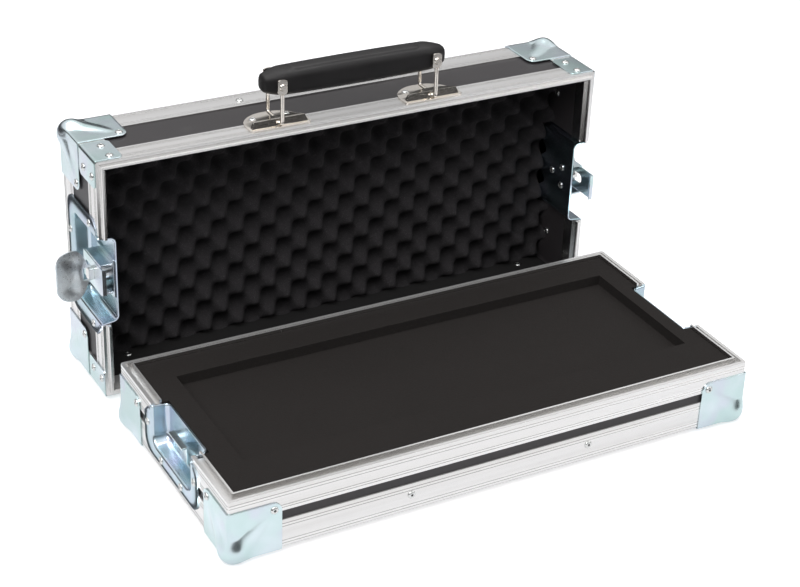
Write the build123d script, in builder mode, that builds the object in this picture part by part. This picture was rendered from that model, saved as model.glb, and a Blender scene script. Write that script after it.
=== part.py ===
"""Small flight case for guitar pedals: a shallow foam-lined tray and a lift-off lid.

Millimetres, +Z up. X runs along the case, the tray lies at -Y with its opening up, and the lid
stands behind it on its long side with its opening towards the tray. The origin is the middle of
the whole object's footprint on the floor.

Each half is drawn in coordinates of its own: x along the case, y across it, z = 0 on the outer
face of the closed side and z = its height at the opening. The two placings at the end of the
dimensions stand it where it belongs.
"""

import os
from build123d import *

os.makedirs("parts", exist_ok=True)

# ---- the case ----------------------------------------------------------------------------------
case_length = 550.0  # over the extrusions
case_depth = 254.0
tray_height = 63.0
lid_height = 97.0
lid_gap = 44.0  # from the tray's rear face to the lid's opening, as they stand
panel_thickness = 7.0  # laminated plywood

# ---- aluminium extrusions ----------------------------------------------------------------------
skin = 1.5  # wall of every extrusion
edge_leg = 30.0
edge_round = 2.5
rim_face = 23.0  # outer leg of the rim
rim_inner_leg = 18.0
outer_lip = 3.5
groove_width = 4.5
groove_depth = 5.0
tongue_height = 4.0
tongue_clearance = 0.5
tongue_chamfer = 0.8
lip_step = 2.5  # the tray's inner lip stands this much above its outer one
flute_width = 1.0
flute_depth = 0.5
edge_flutes = (5.0, 8.0, 23.0, 26.0)  # from the corner, on both legs
rim_flutes = (4.0, 7.0, 17.0, 19.5)  # below the opening, on the outer leg

# ---- pressed steel corners and braces ----------------------------------------------------------
plate = 1.2  # zinc-plated sheet
corner_reach = 51.0
corner_round = 8.0
corner_bend = edge_round + plate
ball_radius = 14.0
ball_stand = 6.0  # the ball stands this far out of the extrusions' faces
brace_reach = 28.0
brace_width = 41.0
brace_round = 5.0
brace_set_back = 1.0
brace_rivet_in = 17.0  # from the fold
brace_rivets_back = (8.0, 31.0)  # from the opening
post_leg = 26.0

# ---- dishes let into both ends of both halves ---------------------------------------------------
dish_width = 93.5
dish_depth = 16.0
tray_dish_length = 42.0
lid_dish_length = 72.0
dish_round = 8.0
dish_drop = 1.5  # the dish stops this far short of the opening
flange_side = 16.0
flange_end = 12.0
flange_ear_drop = 7.0
flange_round = 14.0
flange_chamfer = 7.0
seat_gap = 0.3  # what is let in or slides beside another piece clears it by this much

# ---- catch in the tray's dishes -----------------------------------------------------------------
catch_width = 32.0
catch_sheet = 1.5
catch_drop = 13.0  # top of the catch below the tray's rim
catch_length = 18.0
catch_foot = 7.0
catch_stand_off = 6.0
catch_lip = 6.5

# ---- butterfly latch in the lid's dishes --------------------------------------------------------
spindle_back = 25.0  # from the opening to the spindle
base_width = 42.0
base_length = 44.0
base_sheet = 2.0
rail_width = 2.0
rail_height = 14.5
spindle_radius = 4.95
spindle_bore = 5.0
cam_radius = 10.0
hook_level = 13.5  # underside of the hook plate above the dish floor
hook_sheet = 1.5
hook_width = 28.0
hook_lip = 2.8
hook_travel = 16.0
hook_out = 17.0  # beyond the opening when let out
play = 0.1  # between the turning and sliding faces of the latch
shaft_play = 0.25
slot_land = 4.0
pin_level = 19.0
pin_radius = 1.0
pin_bore = 1.05
wing_thickness = 3.0
wing_width = 54.0
wing_reach = 33.0
wing_round = 15.0
wing_notch = 13.0
wing_notch_reach = 6.0
yoke_width = 12.0
yoke_length = 8.0

# ---- carrying handle on the lid -----------------------------------------------------------------
handle_back = 18.0  # from the opening to the handle's middle
arm_inset = 17.0  # from the grip's ends
arm_radius = 2.0
arm_height = 38.5
arm_corner = 3.5
bar_level = 4.0  # crossbar above the rim's face
bar_play = 0.3
foot_width = 65.0
foot_length = 42.0
foot_set_back = 2.0
foot_sheet = 1.5
foot_round = 30.0
foot_corner = 4.0
foot_rivet_back = 31.0  # from the opening
foot_rivet_spacing = 36.0
bridge_start = 5.0  # the raised part of the foot, from the opening
bridge_end = 19.0
bridge_width = 60.0
bridge_radius = 60.0
bridge_taper = 20.0
tab_width = 10.0
tab_height = 15.0
tab_sheet = 2.0
tab_round = 3.0
grip_length = 203.0
grip_width = 29.0
grip_height = 28.0
grip_round = 8.0
grip_taper = 17.0
grip_end_width = 13.0
grip_end_height = 15.0
grip_end_round = 3.0
grip_pin_radius = 2.0
grip_pin_head = 3.6
grip_pin_head_height = 1.2

# ---- foams --------------------------------------------------------------------------------------
foam_drop = 0.8  # tray foam below the rim
recess_depth = 10.0
recess_left = 40.0  # margins from the case's outer faces
recess_right = 33.0
recess_rear = 44.0
recess_front = 57.0
egg_base = 18.0
egg_height = 20.0
egg_pitch = 36.0
egg_foot = 12.4
egg_tip = 5.0

# ---- rivets -------------------------------------------------------------------------------------
rivet_radius = 3.8
rivet_height = 1.6
rivet_taper = 35.0
rivet_inset = 7.5  # from the free edges of a corner plate
edge_rivet_spacing = 190.0
edge_rivet_up = 18.0

# ---- sizes that follow --------------------------------------------------------------------------
tiny = 0.01
half_length = case_length / 2
half_depth = case_depth / 2
rim_seat = groove_depth + skin  # top edge of a side panel below the opening
inner_face = skin + panel_thickness  # of a panel, from the case's outer face
rim_width = inner_face + skin
mitre_reach = 1.5 * edge_leg
ball_inset = ball_radius - ball_stand  # its centre, from all three outer faces
dish_hollow = dish_width - 2 * plate
dish_notch = dish_width + 2 * seat_gap
pin_out = pin_level - dish_depth  # of the wing's hinge pin beyond the end face
wing_out = pin_out + wing_reach
arm_offset = grip_width / 2 + seat_gap + arm_radius
arm_spacing = grip_length - 2 * arm_inset
egg_columns = int((case_length - 2 * (dish_depth + plate + seat_gap + egg_foot)) // egg_pitch) + 1
egg_rows = int((case_depth - 2 * (inner_face + seat_gap + egg_foot)) // egg_pitch) + 1

# The object's box runs from the left wing's tip to the right ball corners, and from the tray's
# front ball corners to the lid's rear ones; its middle is the origin.
middle_x = (wing_out - ball_stand) / 2
tray_middle_y = -(lid_gap + lid_height) / 2
lid_back_y = tray_middle_y + half_depth + lid_gap + lid_height
tray_place = Location((middle_x, tray_middle_y, ball_stand))
lid_place = Location((middle_x, lid_back_y, ball_stand + half_depth), (90, 0, 0))

SIDES = ("front", "right", "rear", "left")
LONG_SIDES = ("front", "rear")


def finish(piece, name, place):
    """Stand a finished piece in its half of the case, label it and write its file."""
    piece = piece.moved(place)
    piece.label = name
    export_step(piece, f"parts/{name}.step")


def left_and_right(piece):
    """The piece for the right end and its mirror image for the left end."""
    return (("right", piece), ("left", mirror(piece, about=Plane.YZ)))


# ---- planes of a half ---------------------------------------------------------------------------
def side_length(side):
    """Length of a side over the extrusions."""
    return case_length if side in LONG_SIDES else case_depth


def side_start(side):
    """Outer corner that a side starts from, its direction inwards and its direction along."""
    x, y = half_length, half_depth
    return {
        "front": ((-x, -y, 0), Vector(0, 1, 0), Vector(1, 0, 0)),
        "right": ((x, -y, 0), Vector(-1, 0, 0), Vector(0, 1, 0)),
        "rear": ((x, y, 0), Vector(0, -1, 0), Vector(-1, 0, 0)),
        "left": ((-x, y, 0), Vector(1, 0, 0), Vector(0, -1, 0)),
    }[side]


def section_plane(side):
    """Cross-section at a side's start: x inwards, y towards the opening."""
    corner, inwards, along = side_start(side)
    return Plane(origin=corner, x_dir=inwards, z_dir=along)


def face_plane(side):
    """Outer face of a side: x along it, y towards the opening."""
    corner, inwards, along = side_start(side)
    return Plane(origin=corner, x_dir=along, z_dir=-inwards)


end_plane = Plane(origin=(half_length, 0, 0), x_dir=(0, 1, 0), z_dir=(1, 0, 0))
dish_floor_x = half_length - dish_depth
latch_plane = Plane(
    origin=(dish_floor_x, 0, lid_height - spindle_back), x_dir=(0, 1, 0), z_dir=(1, 0, 0)
)
handle_plane = Plane(origin=(0, half_depth, lid_height), x_dir=(1, 0, 0), z_dir=(0, 1, 0))


# ---- cuts shared by panels and extrusions -------------------------------------------------------
def cut_dish_notch(height, depth):
    """Open the middle of both ends, from the opening down by a depth."""
    with Locations((0, 0, height)):
        with GridLocations(case_length, 0, 2, 1):
            Box(4 * dish_depth, dish_notch, 2 * depth, mode=Mode.SUBTRACT)


def mitred_bar(side, section, height):
    """Bar of a side from its cross-section, mitred and rounded at both corners.

    One corner is cut with its vertex at the origin, where no size of the case moves it, and the
    other is its mirror image.
    """
    corner, inwards, along = side_start(side)
    half = side_length(side) / 2
    with BuildPart() as bar:
        extrude(section, amount=half, dir=(1, 0, 0))
        with BuildSketch(Plane.XY):
            Rectangle(half, mitre_reach, align=(Align.MIN, Align.MIN))
            fillet(vertices().sort_by(SortBy.DISTANCE)[0], edge_round)
            Polygon((0, 0), (0, mitre_reach), (mitre_reach, mitre_reach), align=None, mode=Mode.SUBTRACT)
        extrude(amount=height, mode=Mode.INTERSECT)
        mirror(about=Plane.YZ.offset(half))
    return bar.part.moved(Plane(origin=corner, x_dir=along, z_dir=(0, 0, 1)).location)


# ---- panels -------------------------------------------------------------------------------------
def closing_panel():
    """The tray's bottom or the lid's back."""
    with BuildPart() as panel:
        with BuildSketch(Plane.XY.offset(skin)):
            Rectangle(case_length - 2 * skin, case_depth - 2 * skin)
        extrude(amount=panel_thickness)
    return panel.part


def side_panel(side, height, dish_length):
    """A side wall; the end walls stand between the long ones and are notched for the dish."""
    end_inset = skin if side in LONG_SIDES else inner_face
    with BuildPart() as panel:
        with BuildSketch(section_plane(side).offset(end_inset)):
            with Locations((skin, inner_face)):
                Rectangle(panel_thickness, height - rim_seat - inner_face, align=(Align.MIN, Align.MIN))
        extrude(amount=side_length(side) - 2 * end_inset)
        if side not in LONG_SIDES:
            cut_dish_notch(height, dish_length + plate + seat_gap)
    return panel.part


# ---- extrusions ---------------------------------------------------------------------------------
def edge_angle(side, height, dish_length):
    """Angle riveted over the closed edge of a side; at the ends the dish is let into it."""
    with BuildSketch(Plane.YZ) as section:
        Rectangle(edge_leg, skin, align=(Align.MIN, Align.MIN))
        Rectangle(skin, edge_leg, align=(Align.MIN, Align.MIN))
        fillet(vertices().sort_by(SortBy.DISTANCE)[0], edge_round)
        with Locations(*[(0, up) for up in edge_flutes]):
            Rectangle(2 * flute_depth, flute_width, mode=Mode.SUBTRACT)
        with Locations(*[(inwards, 0) for inwards in edge_flutes]):
            Rectangle(flute_width, 2 * flute_depth, mode=Mode.SUBTRACT)
    with BuildPart() as angle:
        add(mitred_bar(side, section.sketch, edge_leg))
        if side not in LONG_SIDES:
            cut_dish_notch(height, dish_length + plate + seat_gap)
    return angle.part


def rim(side, height, with_tongue):
    """Rim gripping a panel's edge: grooved on the tray, tongued and stepped back on the lid."""
    groove_end = outer_lip + groove_width
    step_start = groove_end - tongue_clearance
    with BuildSketch(Plane.YZ) as section:
        with Locations((0, height)):
            Rectangle(skin, rim_face, align=(Align.MIN, Align.MAX))
            Rectangle(rim_width, rim_seat, align=(Align.MIN, Align.MAX))
        with Locations((inner_face, height)):
            Rectangle(skin, rim_inner_leg, align=(Align.MIN, Align.MAX))
        if with_tongue:
            with Locations((outer_lip + tongue_clearance, height)):
                Rectangle(groove_width - 2 * tongue_clearance, tongue_height, align=(Align.MIN, Align.MIN))
            chamfer(vertices().group_by(Axis.Y)[-1], tongue_chamfer)
            with Locations((step_start, height)):
                Rectangle(
                    rim_width - step_start,
                    lip_step + tongue_clearance,
                    align=(Align.MIN, Align.MAX),
                    mode=Mode.SUBTRACT,
                )
        else:
            with Locations((groove_end, height)):
                Rectangle(rim_width - groove_end, lip_step, align=(Align.MIN, Align.MIN))
            with Locations((outer_lip, height)):
                Rectangle(groove_end - outer_lip, groove_depth, align=(Align.MIN, Align.MAX), mode=Mode.SUBTRACT)
        with Locations(*[(0, height - down) for down in rim_flutes]):
            Rectangle(2 * flute_depth, flute_width, mode=Mode.SUBTRACT)
    with BuildPart() as bar:
        add(mitred_bar(side, section.sketch, height + tongue_height))
        if side not in LONG_SIDES:
            cut_dish_notch(height, rim_face + skin)
    return bar.part


def corner_posts(height):
    """Short upright angles between the ball corners and the rim, one at each corner."""
    with BuildPart() as posts:
        with BuildSketch(Plane.XY.offset(edge_leg)):
            Rectangle(case_length, case_depth)
            fillet(vertices(), edge_round)
            Rectangle(case_length - 2 * skin, case_depth - 2 * skin, mode=Mode.SUBTRACT)
            Rectangle(case_length - 2 * post_leg, case_depth, mode=Mode.SUBTRACT)
            Rectangle(case_length, case_depth - 2 * post_leg, mode=Mode.SUBTRACT)
        extrude(amount=height - rim_face - edge_leg)
    return posts.part


# ---- pressed steel corners ----------------------------------------------------------------------
def ball_corner():
    """Corner of the front left: three plates that meet in a ball standing out of all of them."""
    with BuildPart() as inside:
        Box(2 * corner_reach, 2 * corner_reach, 2 * corner_reach, align=Align.MIN)
        fillet(edges_at_corner(inside), edge_round)
        with Locations((ball_inset, ball_inset, ball_inset)):
            Sphere(ball_radius - plate)
    with BuildPart() as corner:
        with Locations((-plate, -plate, -plate)):
            Box(corner_reach + plate, corner_reach + plate, corner_reach + plate, align=Align.MIN)
        fillet(edges_at_corner(corner), corner_bend)
        for face in (Plane.XY, Plane.YZ, Plane.ZX):
            with BuildSketch(face):
                Rectangle(2 * corner_reach, 2 * corner_reach)
                fillet(vertices(), corner_round)
            extrude(amount=corner_reach, both=True, mode=Mode.INTERSECT)
        with Locations((ball_inset, ball_inset, ball_inset)):
            Sphere(ball_radius)
        add(inside.part, mode=Mode.SUBTRACT)
    return corner.part.moved(Location((-half_length, -half_depth, 0)))


def edges_at_corner(block):
    """The three edges of a block that meet nearest to the origin's low corner."""
    return [block.edges().filter_by(axis).sort_by_distance((-plate, -plate, -plate))[0]
            for axis in (Axis.X, Axis.Y, Axis.Z)]


def four_corners(front_left):
    """The corner piece at the front left and its mirror images at the other three corners."""
    front_right = mirror(front_left, about=Plane.YZ)
    return {
        "front_left": front_left,
        "front_right": front_right,
        "rear_left": mirror(front_left, about=Plane.XZ),
        "rear_right": mirror(front_right, about=Plane.XZ),
    }


def corner_braces(height):
    """Folded plates over the rim's mitred corners, four in all."""
    with BuildPart() as braces:
        with BuildSketch(Plane.XY.offset(height - brace_set_back - brace_width)):
            Rectangle(case_length + 2 * plate, case_depth + 2 * plate)
            fillet(vertices(), corner_bend)
            Rectangle(case_length, case_depth, mode=Mode.SUBTRACT)
            Rectangle(case_length - 2 * brace_reach, 2 * case_depth, mode=Mode.SUBTRACT)
            Rectangle(2 * case_length, case_depth - 2 * brace_reach, mode=Mode.SUBTRACT)
        extrude(amount=brace_width)
        fillet(braces.edges().filter_by(lambda edge: abs(edge.length - plate) < tiny), brace_round)
    return braces.part


# ---- dishes and the tray's catch ----------------------------------------------------------------
def dish(height, length):
    """Pressed dish of the right end: a flange on the outside and a pan open towards the lid."""
    bottom = height - length
    with BuildPart() as pressing:
        with BuildSketch(end_plane):
            with Locations((0, bottom - flange_end)):
                Rectangle(
                    dish_width + 2 * flange_side,
                    length + flange_end - flange_ear_drop,
                    align=(Align.CENTER, Align.MIN),
                )
            fillet(vertices().group_by(Axis.Y)[0], flange_round)
            chamfer(vertices().group_by(Axis.Y)[-1], flange_chamfer)
        extrude(amount=plate)
        with BuildSketch(end_plane):
            with Locations((0, bottom - plate)):
                Rectangle(dish_width, length + plate - dish_drop, align=(Align.CENTER, Align.MIN))
            fillet(vertices().group_by(Axis.Y)[0], dish_round)
        extrude(amount=-(dish_depth + plate))
        with BuildSketch(end_plane.offset(plate)):
            with Locations((0, bottom)):
                Rectangle(dish_hollow, length + plate, align=(Align.CENTER, Align.MIN))
            fillet(vertices().group_by(Axis.Y)[0], dish_round - plate)
        extrude(amount=-(dish_depth + plate), mode=Mode.SUBTRACT)
    return pressing.part


def catch():
    """Catch of the tray's right dish: a foot on the dish floor and a lipped plate standing off."""
    profile_plane = Plane(origin=(dish_floor_x, 0, tray_height), x_dir=(1, 0, 0), z_dir=(0, -1, 0))
    plate_bottom = -(catch_drop + catch_length)
    with BuildPart() as strip:
        with BuildSketch(profile_plane):
            with Locations((0, plate_bottom - catch_foot)):
                Rectangle(catch_sheet, catch_foot + catch_sheet, align=(Align.MIN, Align.MIN))
            with Locations((0, plate_bottom)):
                Rectangle(catch_stand_off + catch_sheet, catch_sheet, align=(Align.MIN, Align.MIN))
            with Locations((catch_stand_off, plate_bottom)):
                Rectangle(catch_sheet, catch_length, align=(Align.MIN, Align.MIN))
            with Locations((catch_stand_off, -catch_drop)):
                Rectangle(catch_lip, catch_sheet, align=(Align.MIN, Align.MAX))
        extrude(amount=catch_width / 2, both=True)
    return strip.part


# ---- butterfly latch ----------------------------------------------------------------------------
def latch_base():
    """Base on the dish floor: bearing for the spindle and two rails that guide the hook."""
    rail_offset = hook_width / 2 + seat_gap + rail_width / 2
    with BuildPart() as base:
        with BuildSketch(latch_plane):
            Rectangle(base_width, base_length)
            fillet(vertices(), rail_width)
            Circle(spindle_bore, mode=Mode.SUBTRACT)
        extrude(amount=base_sheet)
        with BuildSketch(latch_plane.offset(base_sheet)):
            with GridLocations(2 * rail_offset, 0, 2, 1):
                Rectangle(rail_width, base_length - 2 * rail_width)
        extrude(amount=rail_height - base_sheet)
    return base.part


def latch_spindle():
    """Spindle with its cam disc under the hook and the yoke that carries the wing."""
    yoke_level = hook_level + hook_sheet + 2 * play
    yoke_top = pin_level + wing_thickness / 2
    with BuildPart() as spindle:
        with BuildSketch(latch_plane.offset(play)):
            Circle(spindle_radius)
        extrude(amount=yoke_level - play)
        with BuildSketch(latch_plane.offset(base_sheet + play)):
            Circle(cam_radius)
        extrude(amount=hook_level - base_sheet - 2 * play)
        with BuildSketch(latch_plane.offset(yoke_level)):
            Rectangle(yoke_width, yoke_length)
            fillet(vertices(), pin_radius)
        extrude(amount=yoke_top - yoke_level)
        with BuildSketch(Plane.XZ.offset(-yoke_width)):
            with Locations((dish_floor_x + pin_level, lid_height - spindle_back)):
                Circle(pin_bore)
        extrude(amount=2 * yoke_width, mode=Mode.SUBTRACT)
    return spindle.part


def latch_wing():
    """Wing folded flat towards the closed side of the lid, with its hinge pin."""
    with BuildPart() as wing:
        with BuildSketch(latch_plane.offset(pin_level - wing_thickness / 2)):
            Rectangle(wing_width, wing_reach, align=(Align.CENTER, Align.MAX))
            fillet(vertices().group_by(Axis.Y)[0], wing_round)
        extrude(amount=wing_thickness)
        with BuildSketch(Plane.XZ.offset(-wing_width / 2)):
            with Locations((dish_floor_x + pin_level, lid_height - spindle_back)):
                Circle(wing_thickness / 2)
        extrude(amount=wing_width)
        with BuildSketch(latch_plane.offset(pin_level - wing_thickness)):
            Rectangle(wing_notch, 2 * wing_notch_reach)
        extrude(amount=2 * wing_thickness, mode=Mode.SUBTRACT)
        with BuildSketch(Plane.XZ.offset(-wing_notch)):
            with Locations((dish_floor_x + pin_level, lid_height - spindle_back)):
                Circle(pin_radius)
        extrude(amount=2 * wing_notch)
    return wing.part


def latch_hook():
    """Hook plate let out beyond the opening, slotted for the spindle, with a lip at its end."""
    tip = spindle_back + hook_out
    slot_half = spindle_radius + shaft_play
    with BuildPart() as hook:
        with BuildSketch(latch_plane.offset(hook_level)):
            with Locations((0, tip)):
                Rectangle(hook_width, tip + slot_half + slot_land, align=(Align.CENTER, Align.MAX))
            with Locations((0, hook_travel / 2)):
                SlotOverall(hook_travel + 2 * slot_half, 2 * slot_half, rotation=90, mode=Mode.SUBTRACT)
        extrude(amount=hook_sheet)
        with BuildSketch(latch_plane.offset(hook_level - hook_lip)):
            with Locations((0, tip)):
                Rectangle(hook_width, hook_sheet, align=(Align.CENTER, Align.MAX))
        extrude(amount=hook_lip)
    return hook.part


# ---- handle -------------------------------------------------------------------------------------
def handle_foot():
    """D-shaped plate joggled over the rim, raised in front to hold the loop's crossbar."""
    step = rim_face + foot_sheet
    with BuildPart() as foot:
        with BuildSketch(handle_plane.offset(-skin)):
            with Locations((0, foot_set_back)):
                Rectangle(foot_width, foot_length, align=(Align.CENTER, Align.MIN))
            fillet(vertices().group_by(Axis.Y)[-1], foot_round)
            fillet(vertices().group_by(Axis.Y)[0], foot_corner)
        extrude(amount=skin + foot_sheet)
        with BuildSketch(handle_plane):
            with Locations((0, step)):
                Rectangle(foot_width, foot_length, align=(Align.CENTER, Align.MIN))
        extrude(amount=foot_sheet, mode=Mode.SUBTRACT)
        with BuildSketch(handle_plane):
            with Locations((0, bridge_start)):
                Rectangle(bridge_width, bridge_end, align=(Align.CENTER, Align.MIN))
            with Locations((0, bridge_end - bridge_radius)):
                Circle(bridge_radius, mode=Mode.INTERSECT)
        extrude(amount=bar_level + arm_radius + bar_play + foot_sheet, taper=bridge_taper)
        with BuildSketch(handle_plane.offset(-skin)):
            Rectangle(foot_width, rim_face, align=(Align.CENTER, Align.MIN))
        extrude(amount=skin, mode=Mode.SUBTRACT)
        with BuildSketch(Plane.XY):
            with Locations((0, half_depth + bar_level)):
                Circle(arm_radius + bar_play)
        extrude(amount=lid_height, mode=Mode.SUBTRACT)
    return foot.part


def handle_loop():
    """Steel loop: a crossbar under the foot's raised part and two arms that end in flat eyes."""
    front = lid_height - handle_back + arm_offset
    rear = lid_height - handle_back - arm_offset
    low = half_depth + bar_level
    high = low + arm_height
    tab_bottom = high - tab_height / 2
    with BuildPart() as loop:
        with BuildLine():
            FilletPolyline(
                (0, tab_bottom, rear), (0, low, rear), (0, low, front), (0, tab_bottom, front), radius=arm_corner
            )
        with BuildSketch(Plane(origin=(0, tab_bottom, rear), z_dir=(0, -1, 0))):
            Circle(arm_radius)
        sweep()
        for arm in (front, rear):
            with BuildSketch(Plane.XY.offset(arm - tab_sheet / 2)):
                with Locations((0, high)):
                    Rectangle(tab_width, tab_height)
                fillet(vertices(), tab_round)
                with Locations((0, high)):
                    Circle(grip_pin_radius + bar_play, mode=Mode.SUBTRACT)
            extrude(amount=tab_sheet)
    return loop.part


def handle_grip():
    """Padded grip, tapered at both ends and drilled for its two pins."""
    straight = grip_length / 2 - grip_taper
    middle = (half_depth + bar_level + arm_height, lid_height - handle_back)
    with BuildPart() as grip:
        with BuildSketch(Plane.YZ):
            with Locations(middle):
                RectangleRounded(grip_height, grip_width, grip_round)
        extrude(amount=straight, both=True)
        for end in (-1, 1):
            with BuildSketch(Plane.YZ.offset(end * straight)):
                with Locations(middle):
                    RectangleRounded(grip_height, grip_width, grip_round)
            with BuildSketch(Plane.YZ.offset(end * grip_length / 2)):
                with Locations(middle):
                    RectangleRounded(grip_end_height, grip_end_width, grip_end_round)
            loft()
        with BuildSketch(Plane.XY):
            with Locations((-arm_spacing / 2, middle[0]), (arm_spacing / 2, middle[0])):
                Circle(grip_pin_radius + play)
        extrude(amount=lid_height, mode=Mode.SUBTRACT)
    return grip.part


def grip_pins():
    """Two rivets through the grip and the loops' eyes."""
    middle_y = half_depth + bar_level + arm_height
    head_face = arm_offset + tab_sheet / 2 + play
    with BuildPart() as pins:
        with BuildSketch(Plane.XY.offset(lid_height - handle_back - head_face)):
            with Locations((-arm_spacing / 2, middle_y), (arm_spacing / 2, middle_y)):
                Circle(grip_pin_radius)
        extrude(amount=2 * head_face)
        with BuildSketch(Plane.XY.offset(lid_height - handle_back + head_face)):
            with Locations((-arm_spacing / 2, middle_y), (arm_spacing / 2, middle_y)):
                Circle(grip_pin_head)
        extrude(amount=grip_pin_head_height, taper=rivet_taper)
        with BuildSketch(Plane.XY.offset(lid_height - handle_back - head_face)):
            with Locations((-arm_spacing / 2, middle_y), (arm_spacing / 2, middle_y)):
                Circle(grip_pin_head)
        extrude(amount=-grip_pin_head_height, taper=rivet_taper)
    return pins.part


# ---- foams --------------------------------------------------------------------------------------
def tray_foam():
    """Foam that fills the tray: a middle block with the pedal bed, and a strip at each corner."""
    inset = rim_width + seat_gap
    top = tray_height - foam_drop
    block_half = half_length - dish_depth - plate - seat_gap
    recess_length = case_length - recess_left - recess_right
    recess_depth_y = case_depth - recess_front - recess_rear
    with BuildPart() as block:
        with BuildSketch(Plane.XY.offset(inner_face)):
            Rectangle(2 * block_half, case_depth - 2 * inset)
        extrude(amount=top - inner_face)
        with BuildSketch(Plane.XY.offset(top)):
            with Locations((recess_left - half_length, recess_front - half_depth)):
                Rectangle(recess_length, recess_depth_y, align=(Align.MIN, Align.MIN))
        extrude(amount=-recess_depth, mode=Mode.SUBTRACT)
    with BuildPart() as strips:
        with BuildSketch(Plane.XY.offset(inner_face)):
            Rectangle(case_length - 2 * inset, case_depth - 2 * inset)
            Rectangle(case_length, dish_notch, mode=Mode.SUBTRACT)
            Rectangle(2 * block_half, case_depth, mode=Mode.SUBTRACT)
        extrude(amount=top - inner_face)
    return Compound([block.part.solid(), *strips.part.solids()])


def lid_foam():
    """Egg-crate foam on the lid's back panel: a slab with bumps in a staggered grid."""
    inset = inner_face + seat_gap
    with BuildPart() as foam:
        with BuildSketch(Plane.XY.offset(inner_face)):
            Rectangle(case_length - 2 * inset, case_depth - 2 * inset)
            with GridLocations(case_length, 0, 2, 1):
                Rectangle(2 * (dish_depth + plate + seat_gap), dish_notch, mode=Mode.SUBTRACT)
        extrude(amount=egg_base)
        with Locations((0, 0, inner_face + egg_base)):
            with GridLocations(egg_pitch, egg_pitch, egg_columns, egg_rows):
                Cone(egg_foot, egg_tip, egg_height, align=(Align.CENTER, Align.CENTER, Align.MIN))
            with GridLocations(egg_pitch, egg_pitch, egg_columns - 1, egg_rows - 1):
                Cone(egg_foot, egg_tip, egg_height, align=(Align.CENTER, Align.CENTER, Align.MIN))
    return foam.part


# ---- rivets -------------------------------------------------------------------------------------
def heads(face, points):
    """Rivet heads on a plane at a list of points."""
    with BuildPart() as group:
        with BuildSketch(face):
            with Locations(*points):
                Circle(rivet_radius)
        extrude(amount=rivet_height, taper=rivet_taper)
    return group.part


def corner_rivet_points(side):
    """Where a side's two ball corners are riveted."""
    reach = corner_reach - rivet_inset
    return [(reach, reach), (side_length(side) - reach, reach)]


def edge_rivet_points(side):
    """Where the long edge angles are riveted between the corners."""
    middle = side_length(side) / 2
    return [(middle - edge_rivet_spacing / 2, edge_rivet_up), (middle + edge_rivet_spacing / 2, edge_rivet_up)]


def dish_rivet_points(height, length):
    """Where a dish's flange is riveted, on the end plane."""
    ear = dish_width / 2 + flange_side / 2
    low = height - length - flange_end / 2
    return [(-ear, height - rim_face), (ear, height - rim_face), (-dish_width / 4, low), (dish_width / 4, low)]


def case_rivets(height, dish_length):
    """All rivet heads on the outside of one half."""
    reach = 2 * (corner_reach - rivet_inset)
    with BuildPart() as rivets:
        with BuildSketch(Plane.XY.offset(-plate)):
            with GridLocations(case_length - reach, case_depth - reach, 2, 2):
                Circle(rivet_radius)
        extrude(amount=-rivet_height, taper=rivet_taper)
        for side in SIDES:
            add(heads(face_plane(side).offset(plate), corner_rivet_points(side)))
        for side in LONG_SIDES:
            add(heads(face_plane(side), edge_rivet_points(side)))
        for face in (end_plane, Plane(origin=(-half_length, 0, 0), x_dir=(0, 1, 0), z_dir=(-1, 0, 0))):
            flipped = [(x * face.y_dir.Z, y * face.y_dir.Z) for x, y in dish_rivet_points(height, dish_length)]
            add(heads(face.offset(plate), flipped))
    return rivets.part


def lid_rivets():
    """The lid's rivet heads: those of its case, of the corner braces and of the handle's feet."""
    with BuildPart() as rivets:
        add(case_rivets(lid_height, lid_dish_length))
        for side in SIDES:
            length = side_length(side)
            points = [(brace_rivet_in, lid_height - back) for back in brace_rivets_back]
            add(heads(face_plane(side).offset(plate), points + [(length - x, y) for x, y in points]))
        for foot_x in (-arm_spacing / 2, arm_spacing / 2):
            left, right = foot_x - foot_rivet_spacing / 2, foot_x + foot_rivet_spacing / 2
            add(heads(handle_plane, [(left, foot_rivet_back), (right, foot_rivet_back)]))
    return rivets.part


# ---- the tray -----------------------------------------------------------------------------------
finish(closing_panel(), "tray_bottom_panel", tray_place)
for side in SIDES:
    finish(side_panel(side, tray_height, tray_dish_length), f"tray_{side}_panel", tray_place)
    finish(edge_angle(side, tray_height, tray_dish_length), f"tray_{side}_edge", tray_place)
    finish(rim(side, tray_height, with_tongue=False), f"tray_{side}_rim", tray_place)
for corner_name, corner in four_corners(ball_corner()).items():
    finish(corner, f"tray_ball_corner_{corner_name}", tray_place)
for end, piece in left_and_right(dish(tray_height, tray_dish_length)):
    finish(piece, f"tray_dish_{end}", tray_place)
for end, piece in left_and_right(catch()):
    finish(piece, f"tray_catch_{end}", tray_place)
finish(tray_foam(), "tray_foam", tray_place)
finish(case_rivets(tray_height, tray_dish_length), "tray_rivets", tray_place)

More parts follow.
